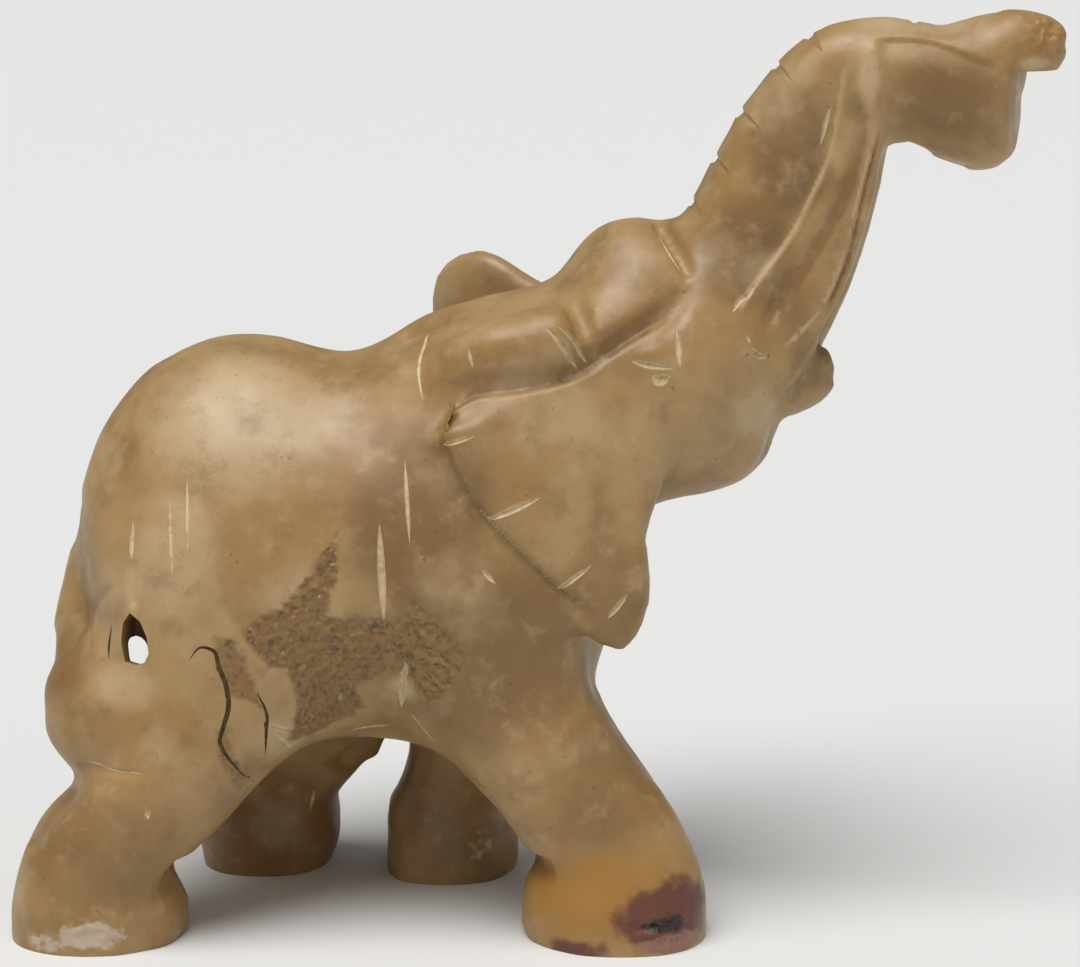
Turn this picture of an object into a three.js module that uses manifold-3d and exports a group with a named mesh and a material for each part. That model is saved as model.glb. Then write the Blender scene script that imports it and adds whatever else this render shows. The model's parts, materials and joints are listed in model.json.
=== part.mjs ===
// A striding elephant with its trunk raised, carved from one block of soapstone.
// Units are millimetres. +Z is up and the soles stand on Z = 0; +X points the way the
// elephant walks and +Y to its left. The large masses are one implicit surface: lumps
// and tapering limbs that run smoothly into each other, turned into facets on a grid.
// Ears, tusks, lips and tail are lofts joined onto it. The soles are then ground flat,
// the hole beside the tail is drilled, and the knife cuts are taken out as thin wedges.

import * as THREE from "three";
import { mergeVertices } from "three/addons/utils/BufferGeometryUtils.js";
import Module from "manifold-3d";

const wasm = await Module();
wasm.setup();

// ---- Driving dimensions -------------------------------------------------------------

const SOLE_Z = 0;
const SPARE = 2; // stone left under the soles for the grinding
const SHORTEST_EDGE = 0.3;

// Grid lines for the facets, as runs of [from, to, step]: finer towards the head.
const GRID_X = [
  [-68, -14, 3.4],
  [-14, 64, 2.7],
];
const GRID_Y = [[-30, 30, 2.8]];
const GRID_Z = [
  [-8, 50, 3.2],
  [50, 113, 2.7],
];

// A lump is an ellipsoid: its centre, its three half sizes, and how softly it joins.
const TORSO = [
  { at: [-34.8, 0, 46], half: [20.2, 19, 24.2], join: 6 }, // rump
  { at: [-16, 0, 45], half: [24, 20, 21.8], join: 6 }, // barrel
  { at: [-7, 0, 48], half: [14.8, 17, 24.5], join: 8 }, // shoulder
];
const HEAD = [
  { at: [15, 0, 66.5], half: [13, 13.5, 12.5], join: 6 }, // skull and cheeks
  { at: [11.2, -0.5, 75.4], half: [8.6, 10.5, 8.8], join: 2.5 }, // dome of the forehead
  { at: [20.5, 0, 60.8], half: [7.5, 8, 7], join: 3 }, // lower jaw
];
const FEET = [
  { at: [-52.3, -12.5, 3.6], half: [11, 9.8, 5.8], join: 1.5 }, // right hind
  { at: [-34.3, 17, 6.2], half: [9.6, 8.8, 6.6], join: 1.5 }, // left hind
  { at: [8.6, -12.5, 4.2], half: [11.4, 9.8, 6.4], join: 2 }, // right fore
  { at: [-9.8, 14, 4], half: [7.4, 9, 5.8], join: 2 }, // left fore
];
const HOCK = [{ at: [-48.6, -11, 28.2], half: [10.2, 8.5, 8.8], join: 2 }];

// A limb follows stations: x, y, z, half its depth in the XZ plane, half its width.
const LIMBS = [
  {
    // neck
    join: 6,
    stations: [
      [-6, 0, 58, 14.5, 15],
      [5, 0, 63.5, 13.5, 13.5],
      [14, 0, 66, 12, 12],
    ],
  },
  {
    // right hind leg
    join: 6,
    power: 2.4,
    stations: [
      [-36, -9, 42, 17, 10],
      [-39, -11, 32, 13, 10],
      [-43.2, -12, 22, 8.8, 9.5],
      [-48.9, -12.5, 14.5, 7.3, 9],
      [-53.4, -12.5, 8.8, 7.9, 9],
      [-53.6, -12.5, 2, 8.8, 9],
      [-53.6, -12.5, -6, 8.8, 9],
    ],
  },
  {
    // left hind leg
    join: 6,
    power: 2.4,
    stations: [
      [-33, 9, 40, 15, 10],
      [-28.6, 12, 28, 12.6, 9.5],
      [-30.6, 14.6, 19.5, 9.4, 8.6],
      [-33.8, 16.6, 12, 7.2, 8],
      [-34.8, 17, 5, 7.6, 8.2],
      [-35.2, 17, -6, 7.2, 8],
    ],
  },
  {
    // right foreleg
    join: 6,
    power: 2.4,
    stations: [
      [-5, -9, 42, 11, 10],
      [-3.4, -11, 30, 9.4, 9.5],
      [2.2, -12, 21, 8, 9],
      [6.9, -12.5, 14, 8, 8.6],
      [9.6, -12.5, 8, 8.9, 9],
      [10.2, -12.5, 2, 9.3, 9.4],
      [10.2, -12.5, -6, 9.3, 9.4],
    ],
  },
  {
    // left foreleg
    join: 4,
    power: 2.4,
    stations: [
      [-6, 9, 40, 12, 10],
      [-8, 11, 28, 8.6, 9],
      [-9.8, 12.5, 18, 6.8, 8.5],
      [-11.9, 13.5, 10, 6.5, 8.2],
      [-12.8, 14, 3, 6.6, 8.6],
      [-12.8, 14, -6, 6.6, 8.6],
    ],
  },
  {
    // trunk
    join: 4,
    power: 2.5,
    stations: [
      [19, 0, 70.5, 9.5, 10.5],
      [24.3, 0, 78.2, 9.3, 9],
      [28.2, 0, 86.4, 9.1, 7.8],
      [31.6, 0, 93.8, 8.4, 7],
      [35.6, 0, 99.8, 7.1, 6.4],
      [41.5, 0, 101.3, 6.2, 6.2],
      [47.5, 0, 99.9, 6.8, 6.4],
      [51.2, 0, 99.4, 7.8, 6.4],
    ],
  },
  {
    // roll above the right ear
    join: 2.5,
    stations: [
      [-10, -12, 68, 3, 3],
      [-5, -12.5, 70, 4, 4],
      [1, -12, 71.2, 4.2, 4.2],
      [7, -10, 72, 3.4, 3.4],
    ],
  },
];

// Pieces joined on as lofts follow the same stations.
const LOFTS = [
  {
    // upper lip of the trunk
    stations: [
      [45, 0, 102.6, 3, 4],
      [50, 0, 103.1, 4.4, 5.6],
      [55, 0, 104.5, 4.1, 5.2],
      [58.4, 0, 105, 3.1, 4.2],
      [60.6, 0, 105.6, 1.9, 2.8],
      [61.6, 0, 105.8, 0.7, 1.2],
    ],
  },
  {
    // lower lip
    stations: [
      [16, -0.5, 62, 5, 7],
      [22, -0.8, 63.6, 4.2, 6],
      [28, -1, 65.2, 3.5, 5],
      [32.6, -1, 66.6, 2.9, 4.2],
      [34.8, -1, 67.2, 1.4, 2.4],
    ],
  },
  {
    // tail
    stations: [
      [-46, 0, 61, 2, 2.6],
      [-49.6, -0.5, 55, 3, 3.4],
      [-51.9, -1.5, 48, 3, 3.4],
      [-53.8, -4, 40, 3, 3.4],
      [-54.8, -8, 32, 3, 3.4],
      [-51, -9.5, 27, 2, 3],
    ],
  },
  {
    // right tusk
    power: 3,
    stations: [
      [25.4, -4.8, 66, 2.6, 3],
      [27.4, -5, 69.6, 3.7, 4],
      [30.2, -5, 75, 3.9, 4],
      [33.2, -4.8, 81.4, 3.6, 3.7],
      [35.8, -4.5, 88.2, 3.1, 3.4],
      [37.4, -4.2, 94.6, 2.6, 3.1],
      [38.4, -4, 101, 2.1, 2.8],
      [38.6, -4, 105, 1, 2],
    ],
  },
  {
    // left tusk
    power: 3,
    stations: [
      [27.4, 4.6, 66, 2.6, 3],
      [29.6, 4.8, 69.6, 3.7, 4],
      [32.2, 4.8, 75, 3.9, 4],
      [35, 4.6, 81.4, 3.6, 3.7],
      [37.3, 4.4, 88.2, 3.1, 3.4],
      [38.9, 4.2, 94.6, 2.6, 3.1],
      [39.8, 4, 101, 2.1, 2.8],
      [39.6, 4, 105, 1, 2],
    ],
  },
];

// Hollows are cut with the same tubes.
const HOLLOWS = [
  {
    // along the top of the right ear and under the right brow
    stations: [
      [-12.5, -19.5, 62.5, 1, 1],
      [-9.5, -19, 64.6, 2.6, 2.6],
      [-4, -18.6, 66.4, 2, 2.2],
      [2, -18, 67.6, 1.9, 2.2],
      [6, -17, 68.8, 2, 2.4],
      [10, -15.8, 71.4, 2.2, 2.8],
      [14, -14, 74, 2.2, 2.8],
      [17, -12, 77.2, 1.8, 2.2],
      [18.4, -10, 80.6, 0.8, 1],
    ],
  },
  {
    // under the left brow
    stations: [
      [2, 18.6, 71, 1, 1],
      [6, 17.4, 71.6, 2, 2.2],
      [10, 15.9, 72.4, 2.2, 2.8],
      [14, 14, 74.4, 2.2, 2.8],
      [17, 12, 77.4, 1.8, 2.2],
      [18.4, 10, 80.8, 0.8, 1],
    ],
  },
  {
    // between the dome and the neck
    stations: [
      [1.6, 4, 80.6, 0.6, 0.8],
      [2, 0, 80.8, 1.5, 1.5],
      [2.6, -6, 79.2, 1.7, 1.7],
      [3.9, -11.2, 76, 1.7, 1.7],
      [5.4, -14.8, 72.4, 1.5, 1.5],
      [6.6, -16.6, 69.4, 1, 1],
    ],
  },
  {
    // between the dome and the trunk
    stations: [
      [14.2, 8, 83, 0.6, 0.6],
      [13.8, 3, 84.6, 1.1, 1.2],
      [14.2, -3, 83.9, 1.2, 1.3],
      [16.2, -8, 81.3, 1.2, 1.3],
      [17.8, -11.2, 78, 0.7, 0.8],
    ],
  },
];

// An ear is a plate: its outline in side view, its thickness, and the Y of its middle
// at any x, z.
const EARS = [
  {
    outline: [
      [-11.6, 60.8],
      [-10, 65.2],
      [-2, 67],
      [8, 68.4],
      [15, 66],
      [14.5, 57],
      [12.1, 49.5],
      [12.6, 41.6],
      [9.6, 37.4],
      [3, 41],
      [-4.8, 48.9],
    ],
    thickness: 4.4,
    middle: (x, z) => -11 - 0.22 * (14 - x) - 0.15 * (68 - z),
  },
  {
    outline: [
      [-13.2, 68.4],
      [-12.6, 75],
      [-7, 78],
      [0, 74.2],
      [10, 71],
      [15, 65],
      [13.5, 57],
      [12, 50],
      [12, 43.4],
      [9, 40],
      [1.5, 45],
      [-7.5, 57],
    ],
    thickness: 5.4,
    middle: (x, z) => 11.2 + 0.4 * (14 - x) + 0.1 * (68 - z),
  },
];

// ---- Shared by the implicit surface and the lofts --------------------------------------

const SIDEWAYS = new THREE.Vector3(0, 1, 0);
const SLICES_PER_STATION = 5;

// Slices along the smooth line through the stations, each with its own directions.
function slicesOf(stations, perStation) {
  const line = new THREE.CatmullRomCurve3(stations.map((s) => new THREE.Vector3(s[0], s[1], s[2])));
  const sizes = new THREE.CatmullRomCurve3(stations.map((s) => new THREE.Vector3(s[3], s[4], 0)));
  const count = (stations.length - 1) * perStation;
  const slices = [];
  for (let i = 0; i <= count; i++) {
    const centre = line.getPoint(i / count);
    const size = sizes.getPoint(i / count);
    const along = line.getTangent(i / count);
    const across = SIDEWAYS.clone().addScaledVector(along, -along.y).normalize();
    const up = new THREE.Vector3().crossVectors(across, along);
    slices.push({ centre, along, across, up, deep: size.x, wide: size.y });
  }
  return slices;
}

// ---- Implicit surface ----------------------------------------------------------------

function smoothJoin(a, b, k) {
  const overlap = Math.max(k - Math.abs(a - b), 0) / k;
  return Math.min(a, b) - (overlap * overlap * k) / 4;
}

// Signed distance, to first order, of a superellipsoid at offset (u, v, w).
function roundDistance(u, v, w, halfU, halfV, halfW, power) {
  const su = Math.pow(Math.abs(u) / halfU, power - 1);
  const sv = Math.pow(Math.abs(v) / halfV, power - 1);
  const sw = Math.pow(Math.abs(w) / halfW, power - 1);
  const sum = (su * Math.abs(u)) / halfU + (sv * Math.abs(v)) / halfV + (sw * Math.abs(w)) / halfW;
  if (sum < 1e-6) return -Math.min(halfU, halfV, halfW);
  const rho = Math.pow(sum, 1 / power);
  const slope = Math.pow(rho, 1 - power) * Math.hypot(su / halfU, sv / halfV, sw / halfW);
  return (rho - 1) / slope;
}

function lump({ at, half, power = 2 }) {
  return (x, y, z) =>
    roundDistance(x - at[0], y - at[1], z - at[2], half[0], half[1], half[2], power);
}

function limb({ stations, power = 2 }) {
  const slices = slicesOf(stations, SLICES_PER_STATION);
  const spans = slices.slice(0, -1).map((slice, i) => {
    const along = slices[i + 1].centre.clone().sub(slice.centre);
    const length = along.length();
    along.normalize();
    const across = SIDEWAYS.clone().addScaledVector(along, -along.y).normalize();
    const up = new THREE.Vector3().crossVectors(across, along);
    return { start: slice, end: slices[i + 1], along, across, up, length };
  });
  const offset = new THREE.Vector3();
  return (x, y, z) => {
    let nearest = Infinity;
    let found = null;
    for (const span of spans) {
      offset.set(x, y, z).sub(span.start.centre);
      const t = offset.dot(span.along);
      const on = Math.min(Math.max(t, 0), span.length);
      const squared = offset.lengthSq() - t * t + (t - on) * (t - on);
      if (squared < nearest) {
        nearest = squared;
        found = { span, on, beyond: t - on };
      }
    }
    const { span, on, beyond } = found;
    offset.set(x, y, z).sub(span.start.centre);
    const share = on / span.length;
    const deep = span.start.deep + (span.end.deep - span.start.deep) * share;
    const wide = span.start.wide + (span.end.wide - span.start.wide) * share;
    const u = offset.dot(span.up);
    const v = offset.dot(span.across);
    return roundDistance(u, v, beyond, deep, wide, Math.min(deep, wide), power);
  };
}

const masses = [
  ...TORSO.map((m) => [lump(m), m.join]),
  ...LIMBS.map((m) => [limb(m), m.join]),
  ...HEAD.map((m) => [lump(m), m.join]),
  ...HOCK.map((m) => [lump(m), m.join]),
  ...FEET.map((m) => [lump(m), m.join]),
];

function stone(x, y, z) {
  let d = masses[0][0](x, y, z);
  for (const [distance, join] of masses.slice(1)) {
    d = smoothJoin(d, distance(x, y, z), join);
  }
  return Math.max(d, SOLE_Z - SPARE - z);
}

// ---- Facets --------------------------------------------------------------------------

function gridLines(runs) {
  const lines = [runs[0][0]];
  for (const [from, to, step] of runs) {
    const count = Math.round((to - from) / step);
    for (let i = 1; i <= count; i++) lines.push(from + ((to - from) * i) / count);
  }
  return lines;
}

// The direction straight out of the surface near a point.
function outward(field, p) {
  const step = 0.02;
  return new THREE.Vector3(
    field(p.x + step, p.y, p.z) - field(p.x - step, p.y, p.z),
    field(p.x, p.y + step, p.z) - field(p.x, p.y - step, p.z),
    field(p.x, p.y, p.z + step) - field(p.x, p.y, p.z - step),
  ).divideScalar(2 * step);
}

// Moves a point onto the surface in a few short steps.
function pulledOnto(field, p) {
  for (let n = 0; n < 4; n++) {
    const slope = outward(field, p);
    const move = slope.multiplyScalar(-field(p.x, p.y, p.z) / Math.max(slope.lengthSq(), 0.2));
    p.add(move.clampLength(0, 0.5));
  }
  return p;
}

// One vertex in every grid cell that the surface crosses, pulled onto the surface, and
// one quad round every grid edge that it crosses.
function facets(field, xs, ys, zs) {
  const at = (i, j, k) => i + xs.length * (j + ys.length * k);
  const values = new Float64Array(xs.length * ys.length * zs.length);
  zs.forEach((z, k) =>
    ys.forEach((y, j) =>
      xs.forEach((x, i) => {
        values[at(i, j, k)] = field(x, y, z);
      }),
    ),
  );

  const vertexOf = new Map();
  const points = [];
  const corner = (i, j, k) => new THREE.Vector3(xs[i], ys[j], zs[k]);
  for (let k = 0; k < zs.length - 1; k++)
    for (let j = 0; j < ys.length - 1; j++)
      for (let i = 0; i < xs.length - 1; i++) {
        const crossings = [];
        for (let axis = 0; axis < 3; axis++)
          for (const a of [0, 1])
            for (const b of [0, 1]) {
              const from = [0, 0, 0];
              from[(axis + 1) % 3] = a;
              from[(axis + 2) % 3] = b;
              const to = from.map((v, n) => (n === axis ? 1 : v));
              const v0 = values[at(i + from[0], j + from[1], k + from[2])];
              const v1 = values[at(i + to[0], j + to[1], k + to[2])];
              if (v0 < 0 === v1 < 0) continue;
              const p = corner(i + from[0], j + from[1], k + from[2]);
              crossings.push(p.lerp(corner(i + to[0], j + to[1], k + to[2]), v0 / (v0 - v1)));
            }
        if (!crossings.length) continue;
        const middle = new THREE.Vector3();
        crossings.forEach((p) => middle.addScaledVector(p, 1 / crossings.length));
        vertexOf.set(at(i, j, k), points.length);
        points.push(pulledOnto(field, middle));
      }

  const index = [];
  const offset = [1, xs.length, xs.length * ys.length];
  for (let k = 1; k < zs.length - 1; k++)
    for (let j = 1; j < ys.length - 1; j++)
      for (let i = 1; i < xs.length - 1; i++) {
        const here = at(i, j, k);
        for (let axis = 0; axis < 3; axis++) {
          const v0 = values[here];
          const v1 = values[here + offset[axis]];
          if (v0 < 0 === v1 < 0) continue;
          const p = offset[(axis + 1) % 3];
          const q = offset[(axis + 2) % 3];
          const quad = [here - p - q, here - q, here, here - p].map((n) => vertexOf.get(n));
          if (v0 >= 0) quad.reverse();
          const [a, b, c, d] = quad;
          const shortest = points[a].distanceTo(points[c]) < points[b].distanceTo(points[d]);
          index.push(...(shortest ? [a, b, c, a, c, d] : [a, b, d, b, c, d]));
        }
      }
  return new THREE.BufferGeometry().setFromPoints(points).setIndex(index);
}

// ---- Lofts ---------------------------------------------------------------------------

const TUBE_SIDES = 12;
const TUBE_SLICES = 2; // between two stations

// A closed skin over rings with the same number of points, capped at both ends.
function skin(rings) {
  const n = rings[0].length;
  const points = rings.flat();
  const index = [];
  for (let r = 0; r < rings.length - 1; r++)
    for (let i = 0; i < n; i++) {
      const a = r * n + i;
      const b = r * n + ((i + 1) % n);
      index.push(a, b, b + n, a, b + n, a + n);
    }
  const last = (rings.length - 1) * n;
  const centre = (ring) =>
    ring.reduce((sum, p) => sum.addScaledVector(p, 1 / n), new THREE.Vector3());
  points.push(centre(rings[0]), centre(rings.at(-1)));
  for (let i = 0; i < n; i++) {
    index.push(points.length - 2, (i + 1) % n, i);
    index.push(points.length - 1, last + i, last + ((i + 1) % n));
  }
  let volume = 0;
  for (let i = 0; i < index.length; i += 3) {
    const [a, b, c] = [0, 1, 2].map((o) => points[index[i + o]]);
    volume += a.dot(new THREE.Vector3().crossVectors(b, c));
  }
  if (volume < 0) index.reverse();
  return new THREE.BufferGeometry().setFromPoints(points).setIndex(index);
}

const swell = (value, power) => Math.sign(value) * Math.pow(Math.abs(value), 2 / power);

function tube({ stations, power = 2 }) {
  return skin(
    slicesOf(stations, TUBE_SLICES).map(({ centre, up, across, deep, wide }) =>
      Array.from({ length: TUBE_SIDES }, (_, i) => {
        const angle = (2 * Math.PI * (i + 0.5)) / TUBE_SIDES;
        return centre
          .clone()
          .addScaledVector(up, deep * swell(Math.cos(angle), power))
          .addScaledVector(across, wide * swell(Math.sin(angle), power));
      }),
    ),
  );
}

// Rings of the plate from its middle out over the rim: [share of the outline, share of
// the half thickness].
const PLATE_PROFILE = [
  [0.45, 1.15],
  [0.8, 1],
  [0.94, 0.75],
  [1, 0.3],
];

function plate({ outline, middle, thickness }) {
  const curve = new THREE.CatmullRomCurve3(
    outline.map(([x, z]) => new THREE.Vector3(x, 0, z)),
    true,
  );
  const rim = curve.getPoints(outline.length * 3).slice(0, -1);
  const centre = rim.reduce((sum, p) => sum.addScaledVector(p, 1 / rim.length), new THREE.Vector3());
  const ring = (share, half) =>
    rim.map((p) => {
      const q = centre.clone().lerp(p, share);
      return new THREE.Vector3(q.x, middle(q.x, q.z) + (half * thickness) / 2, q.z);
    });
  const near = PLATE_PROFILE.map(([share, half]) => ring(share, half));
  const far = PLATE_PROFILE.map(([share, half]) => ring(share, -half)).reverse();
  return skin([...near, ...far]);
}

// ---- Joining and cutting ---------------------------------------------------------------

function solidOf(geometry) {
  const bare = geometry.clone();
  bare.deleteAttribute("normal");
  bare.deleteAttribute("uv");
  const merged = mergeVertices(bare, 1e-4);
  return new wasm.Manifold(
    new wasm.Mesh({
      numProp: 3,
      vertProperties: merged.attributes.position.array,
      triVerts: new Uint32Array(merged.index.array),
    }),
  );
}

function geometryOf(solid) {
  const mesh = solid.getMesh();
  const geometry = new THREE.BufferGeometry();
  geometry.setAttribute("position", new THREE.BufferAttribute(mesh.vertProperties, 3));
  geometry.setIndex(new THREE.BufferAttribute(mesh.triVerts, 1));
  return geometry;
}

// Joins and cuts leave edges far shorter than a facet. Each is drawn together to one
// point, unless that would pinch the surface.
function withoutSlivers(geometry, shortest) {
  const point = (n) => new THREE.Vector3().fromBufferAttribute(geometry.attributes.position, n);
  let index = [...geometry.index.array];
  for (;;) {
    const around = new Map();
    const meet = (a, b) => around.set(a, (around.get(a) ?? new Set()).add(b));
    for (let i = 0; i < index.length; i += 3) {
      const corners = index.slice(i, i + 3);
      for (const a of corners) for (const b of corners) if (a !== b) meet(a, b);
    }
    const movedTo = new Map();
    const settled = new Set();
    for (const [a, others] of around)
      for (const b of others) {
        if (settled.has(a) || settled.has(b) || point(a).distanceTo(point(b)) > shortest) continue;
        const shared = [...others].filter((n) => around.get(b).has(n));
        const flat = point(a).z > SOLE_Z + 1e-3 && point(b).z <= SOLE_Z + 1e-3;
        if (shared.length !== 2 || flat) continue;
        movedTo.set(b, a);
        for (const n of [a, b, ...others, ...around.get(b)]) settled.add(n);
      }
    if (!movedTo.size) break;
    index = index.map((n) => movedTo.get(n) ?? n);
    const kept = [];
    for (let i = 0; i < index.length; i += 3) {
      const [a, b, c] = index.slice(i, i + 3);
      if (a !== b && b !== c && c !== a) kept.push(a, b, c);
    }
    index = kept;
  }
  return new THREE.BufferGeometry()
    .setAttribute("position", geometry.attributes.position)
    .setIndex(index);
}

let elephant = solidOf(facets(stone, gridLines(GRID_X), gridLines(GRID_Y), gridLines(GRID_Z)));

// The end of the trunk is cut off on the slant before the upper lip goes on.
const END_FACE = { at: [56.2, 0, 97], turn: (-19 * Math.PI) / 180, size: 20 };
const slice = new THREE.BoxGeometry(END_FACE.size, 40, 40)
  .translate(END_FACE.size / 2, 0, 0)
  .rotateZ(END_FACE.turn)
  .translate(...END_FACE.at);
elephant = elephant.subtract(solidOf(slice));

for (const piece of LOFTS) elephant = elephant.add(solidOf(tube(piece)));
for (const ear of EARS) elephant = elephant.add(solidOf(plate(ear)));
for (const hollow of HOLLOWS) elephant = elephant.subtract(solidOf(tube(hollow)));

// Rings cut across the back of the trunk with the edge of a file: three-sided bars that
// reach CUT_DEPTH into the surface.
const BAR = 2;
const CUT_DEPTH = 0.9;
const TRUNK_RINGS = [
  [18.2, 86],
  [21.4, 90.4],
  [24.6, 95.8],
  [28.6, 101.6],
  [32.4, 105.4],
  [43.8, 107.6],
];
for (const [x, z] of TRUNK_RINGS) {
  const at = pulledOnto(stone, new THREE.Vector3(x, 0, z));
  const out = outward(stone, at).normalize();
  at.addScaledVector(out, BAR - CUT_DEPTH);
  const bar = new THREE.CylinderGeometry(BAR, BAR, 24, 3)
    .rotateY(Math.atan2(-out.x, -out.z))
    .translate(at.x, at.y, at.z);
  elephant = elephant.subtract(solidOf(bar));
}

// Oval openings drilled across the body: centre, half width and half height, length,
// and the turns about X, Y and Z.
const OPENINGS = [
  // between the tail and the right thigh
  { at: [-48.8, 0, 32.2], half: [1.7, 3.4], length: 80, turns: [-0.23, 0, 0.115] },
  // the top of the gap between the left legs
  { at: [-18.6, 14, 14.6], half: [2.3, 6.4], length: 30, turns: [-0.2, 0.25, 0.04] },
];
for (const { at, half, length, turns } of OPENINGS) {
  const drill = new THREE.CylinderGeometry(1, 1, length, 14)
    .scale(half[0], 1, half[1])
    .rotateY(turns[1])
    .rotateX(turns[0])
    .rotateZ(turns[2])
    .translate(...at);
  elephant = elephant.subtract(solidOf(drill));
}

const ground = new THREE.BoxGeometry(300, 300, 60).translate(0, 0, SOLE_Z - 30);
elephant = elephant.subtract(solidOf(ground));

const body = withoutSlivers(geometryOf(elephant), SHORTEST_EDGE);
body.computeBoundingBox();
const middle = body.boundingBox.getCenter(new THREE.Vector3());
body.translate(-middle.x, -middle.y, 0);
const mesh = new THREE.Mesh(
  body,
  new THREE.MeshStandardMaterial({ color: 0x9a7b50, roughness: 0.45, metalness: 0 }),
);
mesh.name = "elephant";

const group = new THREE.Group();
group.add(mesh);

export default group;
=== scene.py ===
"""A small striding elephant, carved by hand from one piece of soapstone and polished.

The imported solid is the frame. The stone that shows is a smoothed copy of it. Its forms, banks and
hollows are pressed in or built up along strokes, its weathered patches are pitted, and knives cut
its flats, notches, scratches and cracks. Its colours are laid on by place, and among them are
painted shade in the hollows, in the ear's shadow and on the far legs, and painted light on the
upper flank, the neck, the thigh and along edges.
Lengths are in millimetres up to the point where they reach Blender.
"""

import json
import math
from collections import namedtuple

import bpy
import numpy as np
from bpy.props import FloatProperty, FloatVectorProperty, PointerProperty
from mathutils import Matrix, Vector
from mathutils.bvhtree import BVHTree

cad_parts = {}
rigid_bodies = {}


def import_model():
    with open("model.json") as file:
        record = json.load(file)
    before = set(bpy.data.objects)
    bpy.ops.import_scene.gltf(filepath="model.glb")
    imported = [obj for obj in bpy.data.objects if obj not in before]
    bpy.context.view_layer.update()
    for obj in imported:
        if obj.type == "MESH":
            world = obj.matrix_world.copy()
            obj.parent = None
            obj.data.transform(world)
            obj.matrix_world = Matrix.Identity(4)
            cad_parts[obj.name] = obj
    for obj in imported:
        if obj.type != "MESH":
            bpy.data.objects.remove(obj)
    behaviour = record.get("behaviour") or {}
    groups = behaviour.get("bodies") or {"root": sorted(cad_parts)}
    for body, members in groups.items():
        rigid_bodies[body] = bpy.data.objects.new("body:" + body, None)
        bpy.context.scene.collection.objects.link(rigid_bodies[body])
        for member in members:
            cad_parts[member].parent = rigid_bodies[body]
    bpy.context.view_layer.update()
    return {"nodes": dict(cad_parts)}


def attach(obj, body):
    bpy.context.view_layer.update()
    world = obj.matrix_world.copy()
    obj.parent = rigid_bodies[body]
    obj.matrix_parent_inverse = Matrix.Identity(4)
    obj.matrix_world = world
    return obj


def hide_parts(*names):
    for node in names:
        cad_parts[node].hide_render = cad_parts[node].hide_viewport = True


bl_info = {
    "name": "Soapstone elephant",
    "version": (1, 0, 0),
    "blender": (4, 5, 0),
    "location": "View3D > Sidebar > Carving",
    "description": "Makes a hand-carved soapstone elephant around its packed solid",
    "category": "Object",
}

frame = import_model()

MM = 0.001
NODE = "elephant"
STONE = "elephant_stone"
SLIVER = 0.003 * MM
BLOCK_THICKNESS = 5.0
DRILL_LENGTH = 10.0


# ---------------------------------------------------------------- the carving, in millimetres

# A stroke runs over the stone through its points. It is depth deep on its line and reaches out to
# the left and to the right, as seen from outside by someone who walks along it. Below 0, its depth
# builds the stone up. Its tint colours it.
Stroke = namedtuple("Stroke", "name points depth left right tint strength", defaults=(None, 1.0))

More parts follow.
